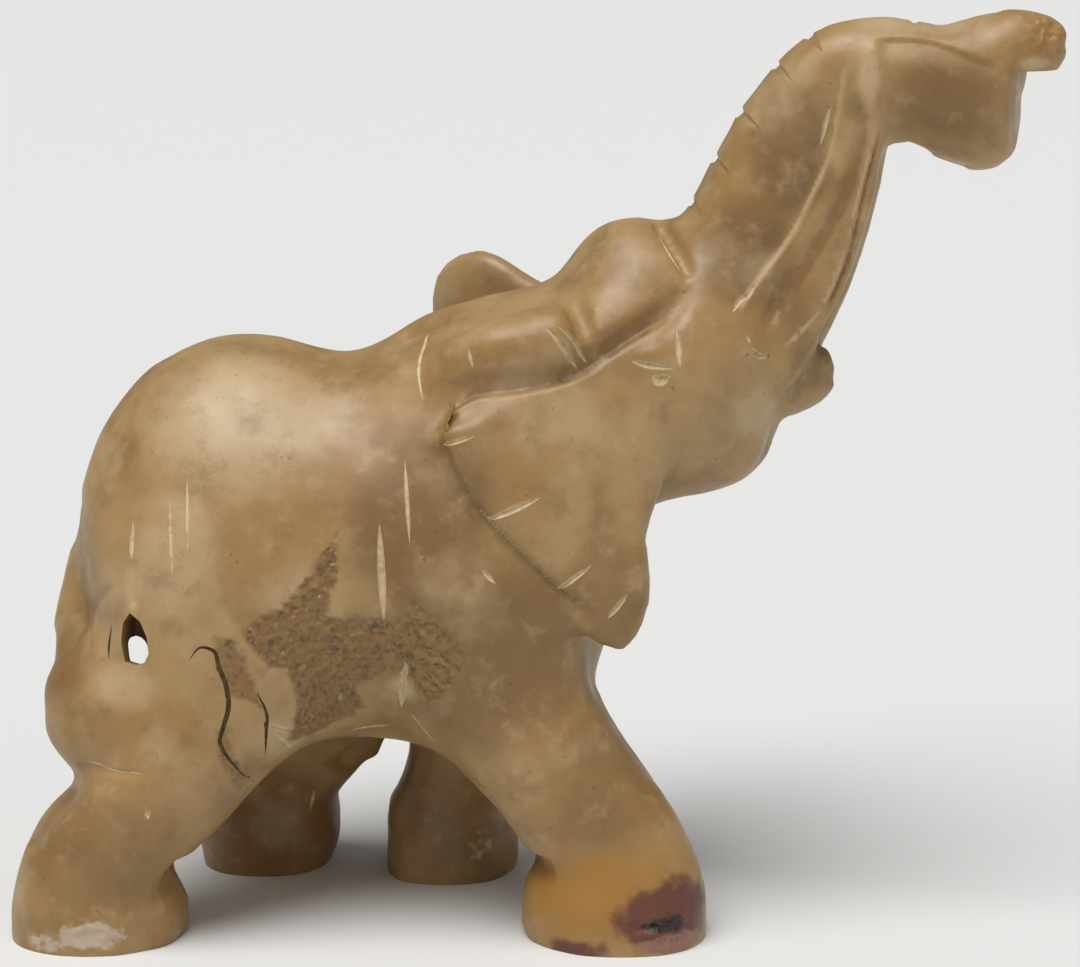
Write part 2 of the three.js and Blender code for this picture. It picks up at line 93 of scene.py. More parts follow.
FORMS = (
    Stroke("dome, rear", ((4.1, -4.0, 78.7), (6.1, -3.9, 81.4), (8.6, -4.3, 83.3)), 1.0, 4.5, 4.5),
    Stroke("saddle", ((-34.7, -4.8, 69.8), (-28.8, -4.9, 69.0), (-23.5, -4.6, 67.7)), 0.6, 6, 6),
    Stroke("below the far ear", ((-15.0, -4.5, 70.6), (-9.5, -4.9, 72.6)), 0.9, 4, 4),
    Stroke("rump, lower", ((-56.5, -9.0, 35.0), (-54.5, -6.0, 46.0)), -0.5, 7, 7),
    Stroke(
        "rump, upper",
        ((-53.6, -5.5, 50.0), (-49.0, -5.0, 58.0), (-42.0, -4.8, 66.0)),
        -0.5,
        7,
        7,
    ),
    Stroke(
        "far thigh, front",
        ((-18.5, 7.5, 19.6), (-22.2, 7.0, 17.2), (-25.0, 8.0, 14.2)),
        1.9,
        4.5,
        4.5,
    ),
    Stroke(
        "far shin, rear",
        ((-15.0, 6.5, 18.8), (-16.6, 9.0, 12.0), (-17.9, 8.3, 5.0)),
        -0.5,
        4,
        4,
    ),
    Stroke(
        "hind leg, rear",
        ((-53.8, -15.6, 19.1), (-56.6, -17.1, 15.0), (-58.9, -17.9, 10.5)),
        1.0,
        6,
        6,
    ),
    Stroke(
        "hind leg, notch",
        ((-43.6, -19.0, 9.0), (-42.6, -15.5, 9.4), (-43.4, -11.5, 9.0)),
        1.7,
        2.8,
        2.0,
    ),
    Stroke(
        "fore leg, front",
        ((13.7, -17.1, 19.2), (17.3, -17.8, 13.3), (19.6, -18.5, 7.0)),
        -0.6,
        5,
        5,
    ),
    Stroke(
        "fore leg, notch",
        ((2.6, -20.5, 10.0), (0.8, -16.9, 9.6), (1.6, -12.5, 10.0)),
        1.2,
        2.6,
        2.0,
    ),
    Stroke(
        "under the level trunk",
        ((43.2, -1.8, 94.6), (45.1, -1.8, 94.2), (47.4, -1.8, 93.2)),
        1.1,
        4,
        4,
    ),
    Stroke("under the trunk's end", ((51.0, -1.8, 91.9), (54.5, -1.8, 92.4)), -0.4, 4, 4),
    Stroke(
        "over the upper lip",
        ((54.5, -3.2, 107.8), (58.0, -3.2, 107.9), (60.4, -3.6, 106.6)),
        -0.4,
        4,
        4,
    ),
    Stroke(
        "over the level trunk",
        ((46.6, -3.0, 106.9), (49.5, -3.0, 106.7), (51.5, -3.0, 107.2)),
        0.5,
        3.5,
        3.5,
    ),
    Stroke(
        "over the bend",
        ((33.5, -3.0, 105.9), (38.0, -3.0, 107.1), (43.0, -3.0, 107.4)),
        -0.3,
        4,
        4,
    ),
    Stroke("tusk ends", ((35.6, -6.0, 75.8), (33.6, -7.0, 72.9), (32.0, -7.0, 70.9)), 0.9, 3, 3),
    Stroke("chin", ((28.1, -5.2, 61.3), (27.1, -4.6, 59.3), (26.3, -3.6, 56.9)), 0.7, 4, 4),
    Stroke(
        "ear, front",
        ((12.8, -17.8, 48.3), (13.0, -18.2, 44.0), (12.4, -18.6, 40.4)),
        -0.5,
        3,
        3,
    ),
    Stroke("chest", ((6.8, -13.5, 36.7), (7.0, -12.2, 33.0), (7.9, -12.2, 28.5)), 0.5, 5, 5),
    Stroke(
        "cheek flat",
        ((8.0, -15.6, 69.5), (12.0, -15.2, 69.9), (15.0, -15.0, 71.5)),
        0.35,
        2.5,
        3.5,
    ),
)

EAR_TOP = (
    (-10.7, -20.1, 60.6),
    (-10.5, -19.1, 63.0),
    (-9.0, -18.3, 64.8),
    (-6.1, -18.1, 65.9),
    (-2.7, -18.1, 66.1),
    (0.8, -17.5, 66.6),
    (3.6, -16.7, 67.3),
    (6.5, -15.5, 68.4),
    (10.5, -14.7, 71.1),
    (14.0, -13.2, 73.1),
    (16.0, -12.4, 74.5),
)
EAR_REAR = (
    (-10.7, -20.1, 61.0),
    (-9.3, -20.5, 57.2),
    (-7.3, -20.7, 53.7),
    (-4.4, -21.2, 50.3),
    (-1.5, -21.3, 47.4),
    (1.3, -20.8, 44.4),
    (3.1, -20.7, 42.9),
    (7.7, -20.2, 39.7),
)
TUSK_REAR = (
    (23.4, -12.4, 74.1),
    (25.7, -10.7, 78.1),
    (29.3, -9.7, 82.5),
    (31.9, -9.1, 87.8),
    (33.9, -8.6, 92.1),
    (34.7, -8.3, 96.6),
    (35.2, -8.0, 100.5),
    (36.3, -7.5, 103.6),
)
TUSK_MIDDLE = (
    (26.9, -11.3, 71.4),
    (30.2, -10.4, 77.4),
    (33.2, -10.0, 82.4),
    (36.1, -9.5, 87.5),
    (37.3, -9.1, 92.6),
    (37.9, -8.7, 96.8),
    (38.1, -8.5, 99.5),
)
TUSK_FRONT = (
    (27.6, -10.6, 68.7),
    (30.7, -10.6, 71.3),
    (33.5, -10.0, 74.2),
    (36.1, -9.7, 80.5),
    (37.8, -9.5, 87.9),
    (38.9, -9.0, 92.1),
    (39.5, -8.7, 95.3),
)
BETWEEN_TUSKS = (
    (33.9, -9.6, 74.0),
    (36.9, -9.2, 80.3),
    (38.5, -9.0, 87.7),
    (39.6, -8.4, 92.0),
    (40.4, -7.9, 95.2),
)
LEVEL_TRUNK_EDGE = (
    (39.2, -6.9, 105.0),
    (43.2, -6.8, 105.2),
    (46.3, -6.8, 104.8),
    (48.5, -7.2, 104.0),
    (51.0, -7.6, 103.0),
    (53.7, -7.6, 102.0),
)
DOME_EDGE = ((14.3, -3.5, 83.2), (15.4, -6.4, 81.9), (16.6, -9.0, 80.3), (18.1, -11.4, 77.8))

BANKS = (
    Stroke("above the ear, round under the brow", EAR_TOP, 1.0, 3.0, 0.9),
    Stroke("pocket behind the ear", ((-10.6, -19.8, 61.6), (-9.4, -18.8, 63.8)), 1.4, 1.6, 1.2),
    Stroke("behind the ear", EAR_REAR, 0.8, 0.9, 3.2),
    Stroke("behind the tusk", TUSK_REAR, 0.7, 3.2, 0.8),
    Stroke("hollow of the tusk", TUSK_MIDDLE, 0.8, 1.9, 1.2),
    Stroke("between the tusks", BETWEEN_TUSKS, 0.6, 0.4, 0.6),
    Stroke("along the level trunk", LEVEL_TRUNK_EDGE, 0.4, 0.5, 3.0),
    Stroke("between dome and trunk", DOME_EDGE, 0.6, 1.8, 0.9),
    Stroke(
        "back of the knee",
        ((-53.0, -17.0, 21.9), (-50.5, -20.0, 21.9), (-48.5, -21.5, 21.9), (-44.9, -23.0, 22.1)),
        0.25,
        0.5,
        1.2,
    ),
    Stroke(
        "edge of the tail",
        ((-48.4, -18.5, 43.2), (-50.6, -15.5, 40.5), (-51.9, -13.2, 38.1), (-51.4, -17.5, 34.7)),
        0.35,
        0.6,
        1.2,
    ),
    Stroke(
        "groove above the tail hole",
        ((-46.3, -19.3, 46.6), (-45.9, -20.2, 41.0)),
        0.35,
        0.9,
        0.9,
    ),
)

# A cut is made by a blade that lies along the stone and narrows to both ends. These are its width
# and depth in the middle, before the cut size in the settings scales them.
Cut = namedtuple("Cut", "name points width depth")

SCRATCHES = (
    Cut("rump, rear", ((-46.2, -18.2, 50.8), (-46.4, -19.4, 46.6)), 0.55, 0.22),
    Cut("rump, middle", ((-41.8, -18.8, 53.6), (-41.4, -21.3, 45.2)), 0.45, 0.20),
    Cut("rump, front", ((-39.8, -18.2, 55.9), (-39.6, -21.2, 47.8)), 0.40, 0.18),
    Cut("flank, long", ((-17.6, -20.9, 51.0), (-17.1, -21.0, 39.6)), 0.70, 0.28),
    Cut("shoulder", ((-14.7, -18.7, 58.0), (-14.1, -21.6, 49.0)), 0.40, 0.18),
    Cut("withers", ((-12.4, -7.3, 71.4), (-12.7, -15.7, 64.5)), 0.45, 0.20),
    Cut("neck, short", ((-7.2, -16.4, 70.6), (-6.9, -17.2, 68.6)), 0.35, 0.15),
    Cut("belly, upright", ((-14.7, -20.2, 35.1), (-14.9, -16.5, 29.2)), 0.75, 0.30),
    Cut("belly, slanting", ((-13.7, -16.5, 28.3), (-10.9, -16.0, 24.0)), 0.35, 0.18),
    Cut("patch, small", ((-23.0, -18.0, 31.0), (-22.5, -16.5, 29.2)), 0.40, 0.20),
    Cut("ear, rear corner", ((-10.5, -20.1, 60.0), (-6.7, -20.6, 61.2)), 0.50, 0.22),
    Cut("ear, upper", ((-5.5, -21.1, 51.4), (0.8, -20.4, 54.0)), 0.65, 0.25),
    Cut("ear, lower", ((2.3, -20.5, 42.9), (6.7, -20.2, 46.0)), 0.50, 0.22),
    Cut("ear, tip", ((8.6, -20.1, 39.7), (10.9, -19.5, 42.5)), 0.55, 0.25),
    Cut("shoulder, short", ((-5.9, -22.3, 46.0), (-4.3, -22.2, 44.3)), 0.45, 0.18),
    Cut("above the ear, rear", ((1.3, -17.1, 73.4), (5.1, -15.7, 68.2)), 0.60, 0.35),
    Cut("above the ear, front", ((2.6, -16.7, 73.5), (6.4, -15.5, 68.7)), 0.50, 0.30),
    Cut("before the eye", ((16.5, -14.4, 73.2), (16.9, -15.8, 68.4)), 0.60, 0.30),
    Cut(
        "upper eyelid",
        ((11.3, -15.6, 69.1), (13.4, -15.8, 68.6), (16.1, -15.8, 68.2)),
        0.60,
        0.30,
    ),
    Cut("eye", ((13.6, -15.9, 67.3), (14.6, -15.9, 66.9), (15.8, -15.9, 67.4)), 1.10, 0.40),
    Cut("dome edge", ((14.6, -6.4, 82.6), (16.0, -9.0, 81.0), (17.4, -10.6, 78.9)), 0.50, 0.20),
    Cut(
        "mouth corner",
        ((25.4, -12.7, 70.2), (26.2, -12.1, 69.2), (27.2, -11.2, 68.8)),
        0.60,
        0.30,
    ),
    Cut("cheek, short", ((24.6, -12.4, 72.0), (25.0, -12.2, 70.6)), 0.35, 0.18),
    Cut("tusk root", ((23.2, -12.6, 74.4), (25.4, -11.0, 77.8)), 0.60, 0.30),
    Cut("tusk rear, upper", ((33.6, -8.8, 93.2), (34.6, -8.4, 98.0)), 0.45, 0.20),
    Cut("back of the knee", ((-51.5, -19.4, 22.6), (-45.2, -22.6, 21.8)), 0.30, 0.12),
    Cut("hind leg nick", ((-44.8, -23.1, 18.2), (-44.6, -23.1, 16.6)), 0.60, 0.35),
    Cut("belly edge, lower", ((-26.0, 2.0, 20.6), (-21.0, -7.0, 24.4)), 0.45, 0.20),
    Cut("belly edge, upper", ((-22.0, -10.5, 25.6), (-16.2, -12.5, 26.8)), 0.50, 0.20),
    Cut("lobe, upper fan", ((-30.9, -20.6, 27.6), (-28.4, -17.5, 26.2)), 0.60, 0.22),
    Cut("lobe, lower fan", ((-30.4, -20.0, 26.4), (-28.8, -16.0, 23.6)), 0.50, 0.20),
    Cut("far knee", ((-27.6, 7.6, 11.8), (-27.8, 8.0, 8.4)), 0.35, 0.18),
)

NOTCHES = (
    Cut("trunk 1", ((20.2, -6.4, 84.4), (18.9, -1.7, 85.9), (20.2, 2.6, 84.4)), 1.3, 0.36),
    Cut("trunk 2", ((23.4, -6.6, 89.4), (22.0, -1.7, 90.6), (23.2, 2.8, 89.4)), 1.25, 0.36),
    Cut("trunk 3", ((26.6, -6.8, 94.6), (25.1, -1.7, 96.0), (26.4, 2.9, 94.6)), 1.25, 0.36),
    Cut("trunk 4", ((30.2, -6.6, 100.2), (28.8, -1.7, 101.6), (30.0, 2.8, 100.4)), 1.2, 0.34),
    Cut("trunk 5", ((33.6, -6.0, 103.6), (32.4, -1.7, 105.2), (33.4, 2.4, 103.8)), 1.1, 0.30),
    Cut("trunk 6", ((44.7, -5.8, 106.0), (44.6, -1.7, 107.6), (44.7, 2.2, 106.2)), 1.1, 0.28),
)

CRACKS = (
    Cut(
        "thigh, long",
        (
            (-39.5, -22.4, 35.4),
            (-38.3, -22.4, 36.8),
            (-36.6, -22.4, 36.3),
            (-36.1, -22.5, 34.5),
            (-35.3, -22.6, 32.3),
            (-35.1, -22.5, 29.7),
            (-35.8, -22.4, 27.2),
            (-36.1, -22.4, 25.2),
            (-34.6, -21.1, 22.4),
            (-33.3, -17.4, 20.0),
        ),
        0.45,
        0.35,
    ),
    Cut(
        "thigh, short",
        ((-32.0, -21.6, 31.6), (-30.9, -21.1, 28.8), (-31.2, -20.4, 26.2), (-31.7, -19.2, 23.9)),
        0.30,
        0.25,
    ),
    Cut(
        "beside the tail",
        ((-48.9, -18.3, 38.6), (-49.2, -18.4, 36.4), (-49.1, -19.0, 34.6)),
        0.35,
        0.3,
    ),
)

# A flat is cut where a block stands with its face on this place, facing this way
Flat = namedtuple("Flat", "name at facing half_width half_height")

FLATS = (
    Flat("end of the trunk", (57.2, -1.65, 97.1), (0.95, -0.33, 0.0), 8.0, 4.4),
    Flat("broken upper lip", (59.8, -5.3, 105.2), (0.50, -0.86, 0.12), 4.2, 3.6),
    Flat("near fore foot", (16.5, -23.3, 2.2), (0.22, -0.93, -0.30), 4.6, 2.0),
)

# The tail hole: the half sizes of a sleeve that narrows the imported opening, and the outline that is
# cut through it, in millimetres to the right of its middle and above it
HOLE_MIDDLE = (-46.3, -19.4, 36.9)
HOLE_SLEEVE = (2.6, 4.3, 1.6)
HOLE_OUTLINE = (
    (-0.6, 3.2),
    (0.7, 2.2),
    (1.5, 0.4),
    (1.7, -1.5),
    (1.2, -2.5),
    (0.2, -2.9),
    (-1.2, -2.5),
    (-1.6, -0.4),
    (-1.4, 2.0),
)

# Weathered patches on the right side: outline in (x, z), how far they are sunk and how deep pitted
Patch = namedtuple("Patch", "name outline sunk pitted")

PATCHES = (
    Patch(
        "flank",
        (
            (-33.5, 38.8),
            (-29.1, 41.4),
            (-26.8, 43.7),
            (-22.6, 49.6),
            (-22.4, 45.1),
            (-23.9, 40.3),
            (-20.5, 39.8),
            (-14.8, 39.9),
            (-14.0, 42.3),
            (-10.7, 39.7),
            (-7.2, 35.8),
            (-10.6, 30.2),
            (-13.0, 29.7),
            (-14.0, 32.6),
            (-17.2, 33.4),
            (-20.6, 31.0),
            (-19.8, 28.0),
            (-25.6, 24.6),
            (-28.4, 24.6),
            (-27.1, 29.5),
            (-28.3, 34.0),
            (-30.6, 34.2),
        ),
        0.10,
        0.40,
    ),
    Patch(
        "thigh",
        ((-36.7, 38.2), (-34.3, 37.6), (-32.6, 33.4), (-31.0, 29.2), (-34.8, 31.3), (-36.4, 35.3)),
        0.06,
        0.15,
    ),
    Patch(
        "below the crack",
        ((-36.6, 27.0), (-35.2, 27.2), (-34.8, 23.6), (-33.0, 20.6), (-34.6, 20.4), (-36.4, 24.0)),
        0.05,
        0.15,
    ),
)

# A place with a tint or a roughness, which fades from its middle out to its half sizes. Some of the
# tints are the stone's own colour, some are painted shade and some painted light, as the notes below
# say.
Zone = namedtuple("Zone", "name tint middle half strength")

TINTED = (
    # Partly the stone's own brown, partly painted shadow of the ear over the flank
    Zone("lower flank", "brown", (-6.0, -21.0, 36.0), (19.0, 9.0, 17.0), 1.0),
    Zone("behind the ear", "brown", (-12.5, -21.0, 51.0), (12.0, 9.0, 18.0), 1.0),
    Zone("under the tail", "brown", (-55.0, -14.0, 33.0), (8.0, 10.0, 8.0), 0.8),
    Zone("knee", "honey", (-46.0, -23.0, 27.0), (12.0, 6.0, 7.0), 0.8),
    # Painted shade on the far legs, where the body keeps the light off them
    Zone("far hind leg", "brown", (-34.0, 12.0, 9.0), (16.0, 14.0, 16.0), 1.0),
    Zone("far fore leg", "brown", (-12.0, 10.0, 12.0), (9.0, 12.0, 18.0), 1.0),
    Zone("far ear", "brown", (-4.0, 16.0, 76.0), (12.0, 9.0, 9.0), 0.4),
    Zone("lower lip", "brown", (32.5, -5.0, 65.5), (4.5, 5.0, 2.5), 0.6),
    Zone("ear tip", "brown", (9.0, -20.0, 43.0), (9.0, 5.0, 11.0), 0.7),
    Zone("chest", "brown", (4.0, -15.0, 31.0), (9.0, 9.0, 9.0), 0.6),
    Zone("hind leg", "brown", (-50.0, -20.0, 12.0), (15.0, 9.0, 12.0), 0.55),
    Zone("trunk, lower side", "brown", (24.5, -10.5, 81.5), (8.5, 6.0, 11.0), 0.9),
    Zone("trunk, upper side", "brown", (29.5, -8.5, 93.0), (7.5, 6.0, 12.0), 1.0),
    # Partly the trunk's own brown, partly painted shade on the concave side of the level trunk
    Zone("level trunk", "brown", (48.0, -8.0, 98.5), (10.0, 5.0, 8.0), 0.9),
    Zone("rump, rear", "brown", (-55.0, -12.0, 44.0), (9.0, 10.0, 16.0), 0.6),
    Zone("fore leg", "brown", (9.0, -20.0, 20.0), (12.0, 9.0, 16.0), 0.6),
    # Partly the stone's own paler colour, partly painted light falling from above on the neck and
    # upper flank
    Zone("neck", "pale", (-6.0, -13.0, 72.5), (13.0, 9.0, 4.0), 0.4),
    Zone("upper flank", "pale", (-33.0, -13.0, 61.0), (17.0, 12.0, 13.0), 0.95),
    Zone("rump, front", "pale", (-41.0, -20.0, 47.0), (8.0, 6.0, 12.0), 0.75),
    Zone("middle flank", "pale", (-28.0, -20.0, 41.0), (8.0, 5.0, 9.0), 0.5),
    # Painted highlight where the bulge of the thigh catches the light
    Zone("thigh", "pale", (-48.0, -22.0, 32.0), (7.0, 5.0, 4.0), 0.8),
    Zone("belly edge", "pale", (-28.0, -18.0, 26.0), (9.0, 7.0, 6.0), 0.7),
    Zone("chin", "pale", (25.5, -11.0, 62.5), (5.0, 7.0, 5.0), 0.7),
    Zone("top of the bend", "pale", (38.8, -7.5, 101.0), (1.9, 4.0, 6.0), 0.9),
    Zone("top of the level trunk", "pale", (46.0, -3.0, 107.0), (13.0, 6.0, 2.6), 0.8),
    Zone("end of the trunk", "pale", (57.4, -2.0, 97.5), (1.6, 7.0, 6.0), 1.0),
    Zone("under the upper lip", "pale", (58.0, -4.5, 102.4), (3.0, 4.0, 1.3), 0.9),
    Zone("groove above the tail hole", "pale", (-46.1, -19.8, 43.5), (1.6, 3.0, 4.5), 0.8),
    Zone("beside the belly cut", "pale", (-15.0, -18.0, 31.0), (3.5, 4.0, 3.0), 0.8),
    Zone("near fore foot, ochre", "ochre", (9.0, -20.0, 6.5), (15.0, 10.0, 10.0), 1.0),
    Zone("near fore foot, red", "mauve", (15.5, -20.5, 4.4), (10.5, 10.0, 6.4), 1.0),
    Zone("near fore foot, heel", "mauve", (6.0, -21.5, 0.6), (7.0, 5.0, 2.4), 0.8),
    Zone("near fore foot, toe", "plum", (15.5, -21.5, 1.4), (8.0, 4.0, 2.0), 1.0),
    # Painted shade: the near-black of the cavity in the fore foot
    Zone("near fore foot, cavity", "soot", (15.6, -22.4, 3.7), (5.2, 2.6, 1.6), 1.0),
    Zone("near hind foot", "chalk", (-51.5, -23.5, 2.6), (7.0, 4.0, 3.0), 0.9),
    Zone("near hind foot, rear", "chalk", (-57.0, -22.5, 1.2), (4.5, 4.0, 2.0), 0.8),
    Zone("far fore foot", "chalk", (-6.5, 4.5, 5.0), (3.5, 3.0, 4.0), 0.6),
    Zone("broken upper lip", "ochre", (60.0, -5.0, 105.2), (5.2, 4.0, 4.0), 0.55),
)

ROUGH = (
    Zone("broken upper lip", None, (60.0, -5.0, 105.2), (4.6, 4.0, 3.6), 0.6),
    Zone("near fore foot", None, (15.5, -22.6, 3.0), (6.0, 4.0, 3.0), 1.0),
    Zone("near hind foot", None, (-52.0, -23.5, 2.6), (7.0, 4.0, 3.2), 0.3),
)

# Strokes that only colour the stone: painted shade in the hollows, grooves and pocket and under the
# ear's rear edge, and painted highlights along the edges of the tusk and the ear's rear edge
PAINTED_SHADE_AND_HIGHLIGHTS = (
    # Painted shade in the hollow of the tusk
    Stroke("hollow of the tusk", TUSK_MIDDLE, 0, 1.8, 1.3, "brown", 1.0),
    # Painted highlights along both edges of the tusk
    Stroke("rear edge of the tusk", TUSK_REAR, 0, 0.35, 0.9, "pale", 0.8),
    Stroke("front edge of the tusk", TUSK_FRONT, 0, 0.35, 0.3, "pale", 1.0),
    # Painted shade in the groove between the tusks
    Stroke("between the tusks", BETWEEN_TUSKS, 0, 0.3, 0.5, "brown", 1.0),
    # Painted shade in the hollow above the ear, in the pocket behind it and under its rear edge
    Stroke("hollow above the ear", EAR_TOP, 0, 2.6, 0.2, "brown", 0.9),
    Stroke(
        "pocket behind the ear",
        ((-10.8, -19.8, 61.4), (-9.2, -18.8, 64.0)),
        0,
        1.8,
        1.2,
        "brown",
        1.0,
    ),
    Stroke("under the ear's rear edge", EAR_REAR, 0, 0.2, 2.4, "brown", 0.8),
    # Painted highlight along the ear's rear edge
    Stroke("ear's rear edge", EAR_REAR, 0, 0.7, 0.0, "pale", 0.7),
)

# The tints: most are the stone's own colours; brown and pale are partly painted shade and painted
# light, and the darkest is painted shade in the cavity of the fore foot
TINTS = ("honey", "pale", "brown", "rust", "ochre", "mauve", "plum", "soot", "chalk")


# ---------------------------------------------------------------- settings


class CarvingSettings(bpy.types.PropertyGroup):
    facet: FloatProperty(
        name="Facet",
        description="Size of the mesh facets of the smoothed stone",
        default=0.70 * MM,
        min=0.3 * MM,
        unit="LENGTH",
    )
    unevenness: FloatProperty(
        name="Unevenness",
        description="How far the hand-rubbed surface wanders in and out",
        default=0.22 * MM,
        min=0.0,
        unit="LENGTH",
    )
    cut_scale: FloatProperty(
        name="Cut size",
        description="Widens and deepens every scratch, notch and crack",
        default=1.5,
        min=0.1,
        max=3.0,
        subtype="FACTOR",
    )


def colour_property(name, description, default):
    return FloatVectorProperty(
        name=name, description=description, default=default, size=3, subtype="COLOR"
    )


class StoneSettings(bpy.types.PropertyGroup):
    olive: colour_property("Olive tan", "Ground colour of the stone", (0.365, 0.232, 0.092))
    honey: colour_property("Honey brown", "Warmer clouds", (0.31, 0.178, 0.055))
    # Pale cream is also laid on as painted light on the upper flank and neck and as painted highlights
    # along edges
    pale: colour_property("Pale cream", "Paler stone", (0.45, 0.315, 0.165))
    # Brown is also laid on as painted shade in hollows, in the ear's shadow and on the far legs
    brown: colour_property("Brown", "Darker stone", (0.20, 0.108, 0.032))
    rust: colour_property("Rust", "Weathered, pitted patches", (0.225, 0.125, 0.038))
    ochre: colour_property("Ochre", "Orange part of the fore foot", (0.33, 0.16, 0.026))
    mauve: colour_property("Mauve", "Red part of the fore foot", (0.125, 0.036, 0.017))
    plum: colour_property("Plum", "Chipped toe of the fore foot", (0.27, 0.13, 0.09))
    # Painted shade: the near-black of the cavity in the fore foot
    soot: colour_property("Shade", "The dark cavity in the fore foot", (0.03, 0.012, 0.010))
    chalk: colour_property("Chalk", "Dusty white at the feet", (0.46, 0.36, 0.26))
    cut: colour_property("Fresh cut", "Stone laid bare by the knife", (0.58, 0.46, 0.27))
    dirt: colour_property("Dirt", "Old dirt in cracks and pits", (0.085, 0.05, 0.018))


class StageSettings(bpy.types.PropertyGroup):
    floor_colour: colour_property("Floor", "Colour of the plain floor", (0.70, 0.70, 0.69))
    distance: FloatProperty(
        name="Camera distance",
        description="From the camera to the middle of the carving",
        default=408 * MM,
        min=0.1,
        unit="LENGTH",
    )


# ---------------------------------------------------------------- helpers


def select_only(*objects):
    """Selects just these objects, in object mode, the first of them active."""
    if bpy.context.object and bpy.context.object.mode != "OBJECT":
        bpy.ops.object.mode_set(mode="OBJECT")
    bpy.ops.object.select_all(action="DESELECT")
    for one in objects:
        one.select_set(True)
    bpy.context.view_layer.objects.active = objects[0]


def apply_modifier(piece, kind, **values):
    """Adds a modifier with these values and applies it."""
    select_only(piece)
    modifier = piece.modifiers.new(kind.lower(), kind)
    for name, value in values.items():
        setattr(modifier, name, value)
    bpy.ops.object.modifier_apply(modifier=modifier.name)


def cut_away(stone, tool):
    """Cuts the tool out of the stone, and puts the tool away. Its material stays on the cut."""
    apply_modifier(
        stone,
        "BOOLEAN",
        operation="DIFFERENCE",
        solver="MANIFOLD",
        material_mode="TRANSFER",
        object=tool,
    )
    bpy.data.objects.remove(tool)


def find_stone():
    stone = bpy.data.objects.get(STONE)
    if stone is None:
        raise RuntimeError("the stone has to be carved first")
    return stone


def rising(value, low, high):
    """0 up to low, 1 from high, and a smooth rise between them."""
    share = np.clip((value - low) / (high - low), 0, 1)
    return share * share * (3 - 2 * share)


def smooth_line(points, steps=4):
    """More places on a smooth curve through these points."""
    spots = [Vector(p) for p in points]
    ends = [2 * spots[0] - spots[1], *spots, 2 * spots[-1] - spots[-2]]
    line = []
    for a, b, c, d in zip(ends, ends[1:], ends[2:], ends[3:]):
        for i in range(steps):
            t = i / steps
            spot = b + (c - a) * (t / 2)
            spot += (a - b * 2.5 + c * 2 - d / 2) * t * t
            spot += ((b - c) * 1.5 + (d - a) / 2) * t**3
            line.append(spot)
    line.append(spots[-1])
    return line


class Ground:
    """The stone as it is now: its vertices in millimetres, their normals, and its faces."""

    def __init__(self, stone):
        self.stone = stone
        self.spots = self.read("co") / MM
        self.normals = self.read("normal")
        self.tree = BVHTree.FromObject(stone, bpy.context.evaluated_depsgraph_get())

    def read(self, name):
        vertices = self.stone.data.vertices
        numbers = np.empty(len(vertices) * 3, np.float32)
        vertices.foreach_get(name, numbers)
        return numbers.reshape(-1, 3).astype(float)

    def nothing(self):
        return np.zeros(len(self.spots))

    def under(self, spot):
        """The nearest place on the stone, and the way it faces there."""
        place, normal, _, _ = self.tree.find_nearest(Vector(spot) * MM)
        return place / MM, normal

    def stroke(self, stroke, spread=0.0):
        """How strongly a stroke acts on each vertex: 1 on its line, 0 where its reach ends."""
        line = np.array([self.under(spot)[0] for spot in smooth_line(stroke.points)])
        for _ in range(3):
            line[1:-1] = (line[:-2] + 2 * line[1:-1] + line[2:]) / 4
        widest = max(stroke.left, stroke.right) + spread
        near = ((self.spots > line.min(0) - widest) & (self.spots < line.max(0) + widest)).all(1)
        near = np.flatnonzero(near)
        here, up = self.spots[near], self.normals[near]
        lengths = np.linalg.norm(np.diff(line, axis=0), axis=1)
        walked = np.concatenate([[0], np.cumsum(lengths)])
        distance = np.full(len(near), np.inf)
        along, side = np.zeros(len(near)), np.zeros(len(near))
        for i, length in enumerate(lengths):
            run = (line[i + 1] - line[i]) / max(length, 1e-9)
            t = np.clip((here - line[i]) @ run, 0, length)
            away = here - line[i] - t[:, None] * run
            far = np.linalg.norm(away, axis=1)
            closer = far < distance
            distance[closer] = far[closer]
            along[closer] = (walked[i] + t)[closer] / walked[-1]
            side[closer] = np.einsum("ij,ij->i", np.cross(run, up), away)[closer]
        reach = np.where(side > 0, stroke.right, stroke.left) + spread
        share = self.nothing()
        fade = rising(np.minimum(along, 1 - along), -0.02, 0.12)
        share[near] = rising(1 - distance / np.maximum(reach, 1e-6), 0, 1) * fade
        return share

    def patch(self, patch, feather):
        """1 well inside a weathered patch of the right side, 0.5 on its outline, 0 outside it."""
        depth = inside(patch.outline, self.spots[:, 0], self.spots[:, 2])
        right = (self.spots[:, 1] < -8) & (self.normals[:, 1] < -0.1)
        return rising(depth, -feather, feather) * right

    def zone(self, zone):
        """A zone's strength in its middle, which fades to 0 at its half sizes."""
        far = np.linalg.norm((self.spots - zone.middle) / zone.half, axis=1)
        return zone.strength * (1 - rising(far, 0.3, 1.0))


def inside(outline, x, z):
    """How far inside the outline each place lies, in millimetres, and below 0 outside it."""
    within = np.zeros(len(x), bool)
    nearest = np.full(len(x), np.inf)
    for (ax, az), (bx, bz) in zip(outline, outline[1:] + outline[:1]):
        if az != bz:
            crosses = (az > z) != (bz > z)
            within ^= crosses & (x < ax + (z - az) / (bz - az) * (bx - ax))
        run = np.array((bx - ax, bz - az))
        t = np.clip(((x - ax) * run[0] + (z - az) * run[1]) / (run @ run), 0, 1)
        nearest = np.minimum(nearest, np.hypot(x - ax - t * run[0], z - az - t * run[1]))
    return np.where(within, nearest, -nearest)


